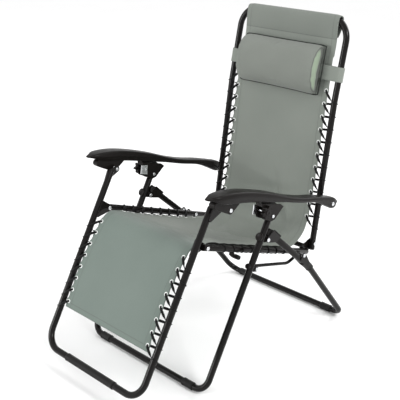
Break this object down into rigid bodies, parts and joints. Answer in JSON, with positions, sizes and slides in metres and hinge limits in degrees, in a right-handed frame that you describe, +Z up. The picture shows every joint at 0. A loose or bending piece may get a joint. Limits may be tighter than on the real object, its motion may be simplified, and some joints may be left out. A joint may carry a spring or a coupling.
{
  "type": "zero gravity recliner",
  "caption": "Folding zero gravity lounge chair: tubular steel frame, laced mesh slings, armrest linkage with slide clamps, footrest, and a head pillow on a strap.",
  "frame": {"origin": "middle of the footprint, on the floor", "axes": "+Z up, the sitter faces -Y, +X is the sitter's left"},
  "size_m": [0.632, 1.0067, 1.1268],
  "materials": {
    "frame_black": "semi-gloss powder coat",
    "plastic_black": "fine grain moulded",
    "rubber_black": "matt",
    "zinc": "zinc plated",
    "mesh_sage": "open textilene weave",
    "elastic_black": "braided elastic"
  },
  "bodies": {
    "front_legs": {"front_leg_frame": "frame_black", "leg_hinge_block_left": "plastic_black", "leg_hinge_block_right": "plastic_black", "brace_hinge_block_left": "plastic_black", "brace_hinge_block_right": "plastic_black", "front_floor_sleeve_left": "rubber_black", "front_floor_sleeve_right": "rubber_black", "slide_rivet_left": "zinc", "slide_rivet_right": "zinc"},
    "rear_legs": {"rear_leg_frame": "frame_black", "rear_leg_fork_left": "frame_black", "rear_leg_fork_right": "frame_black", "leg_hinge_rivet_left": "zinc", "leg_hinge_rivet_right": "zinc", "rear_leg_knee_left": "plastic_black", "rear_leg_knee_right": "plastic_black", "rear_floor_sleeve_left": "rubber_black", "rear_floor_sleeve_right": "rubber_black", "seat_pivot_rivet_left": "zinc", "seat_pivot_rivet_right": "zinc"},
    "brace_left": {"brace_left": "frame_black"},
    "brace_right": {"brace_right": "frame_black"},
    "seat": {"seat_rail_left": "frame_black", "seat_rail_right": "frame_black", "seat_rear_bracket": "frame_black", "rail_stop_left": "rubber_black", "rail_stop_right": "rubber_black", "seat_sling": "mesh_sage", "seat_lace_left": "elastic_black", "seat_lace_right": "elastic_black", "back_hinge_rivet_left": "zinc", "back_hinge_rivet_right": "zinc", "foot_hinge_rivet_left": "zinc", "foot_hinge_rivet_right": "zinc"},
    "back": {"back_frame": "frame_black", "back_sling": "mesh_sage", "back_lace_left": "elastic_black", "back_lace_right": "elastic_black", "armrest_rear_rivet_left": "zinc", "armrest_rear_rivet_right": "zinc"},
    "pillow": {"head_pillow": "mesh_sage", "pillow_strap": "mesh_sage"},
    "foot": {"foot_frame": "frame_black", "foot_bar_sleeve": "plastic_black", "foot_gusset_left": "frame_black", "foot_gusset_right": "frame_black", "foot_sling": "mesh_sage", "foot_lace_left": "elastic_black", "foot_lace_right": "elastic_black"},
    "arm_left": {"armrest_left": "plastic_black", "armrest_front_rivet_left": "zinc"},
    "arm_right": {"armrest_right": "plastic_black", "armrest_front_rivet_right": "zinc"},
    "slide_left": {"armrest_slide_left": "plastic_black", "clamp_plate_left": "zinc"},
    "slide_right": {"armrest_slide_right": "plastic_black", "clamp_plate_right": "zinc"},
    "knob_left": {"clamp_knob_left": "plastic_black"},
    "knob_right": {"clamp_knob_right": "plastic_black"}
  },
  "joints": [
    {"name": "leg_fold", "type": "hinge", "parent": "front_legs", "child": "rear_legs", "pos_m": [0, 0.027, 0.471], "axis": [-1, 0, 0], "range_deg": [0, 74]},
    {"name": "brace_swing_left", "type": "hinge", "parent": "front_legs", "child": "brace_left", "pos_m": [0.264, -0.022, 0.382], "axis": [-1, 0, 0], "range_deg": [0, 105.05]},
    {"name": "brace_swing_right", "type": "hinge", "parent": "front_legs", "child": "brace_right", "pos_m": [-0.264, -0.022, 0.382], "axis": [-1, 0, 0], "range_deg": [0, 105.05]},
    {"name": "seat_tilt", "type": "hinge", "parent": "rear_legs", "child": "seat", "pos_m": [0, 0.22, 0.352], "axis": [-1, 0, 0], "range_deg": [0, 7.65]},
    {"name": "back_recline", "type": "hinge", "parent": "seat", "child": "back", "pos_m": [0, 0.343, 0.341], "axis": [-1, 0, 0], "range_deg": [0, 22]},
    {"name": "foot_swing", "type": "hinge", "parent": "seat", "child": "foot", "pos_m": [0, -0.202, 0.499], "axis": [-1, 0, 0], "range_deg": [0, 30.61]},
    {"name": "arm_swing_left", "type": "hinge", "parent": "back", "child": "arm_left", "pos_m": [0.286, 0.369, 0.501], "axis": [1, 0, 0], "range_deg": [0, 24.9]},
    {"name": "arm_swing_right", "type": "hinge", "parent": "back", "child": "arm_right", "pos_m": [-0.286, 0.369, 0.501], "axis": [1, 0, 0], "range_deg": [0, 24.9]},
    {"name": "slide_swing_left", "type": "hinge", "parent": "front_legs", "child": "slide_left", "pos_m": [0.286, 0.046, 0.549], "axis": [-1, 0, 0], "range_deg": [0, 4.82]},
    {"name": "clamp_turn_left", "type": "hinge", "parent": "slide_left", "child": "knob_left", "pos_m": [0.286, 0.004, 0.577], "axis": [1, 0, 0], "range_deg": [-90, 90]},
    {"name": "slide_swing_right", "type": "hinge", "parent": "front_legs", "child": "slide_right", "pos_m": [-0.286, 0.046, 0.549], "axis": [-1, 0, 0], "range_deg": [0, 4.82]},
    {"name": "clamp_turn_right", "type": "hinge", "parent": "slide_right", "child": "knob_right", "pos_m": [-0.286, 0.004, 0.577], "axis": [1, 0, 0], "range_deg": [-90, 90]},
    {"name": "pillow_slide", "type": "slide", "parent": "back", "child": "pillow", "axis": [0, 0.2186, 0.9758], "range_m": [-0.02, 0.06]}
  ],
  "couplings": [
    {"joint": "brace_swing_left", "follows": "leg_fold", "ratio": 1.4189},
    {"joint": "brace_swing_right", "follows": "leg_fold", "ratio": 1.4189},
    {"joint": "seat_tilt", "follows": "back_recline", "ratio": 0.34556},
    {"joint": "foot_swing", "follows": "back_recline", "ratio": 1.3893},
    {"joint": "arm_swing_left", "follows": "back_recline", "ratio": 1.1294},
    {"joint": "slide_swing_left", "follows": "back_recline", "ratio": 0.217},
    {"joint": "arm_swing_right", "follows": "back_recline", "ratio": 1.1294},
    {"joint": "slide_swing_right", "follows": "back_recline", "ratio": 0.217}
  ]
}
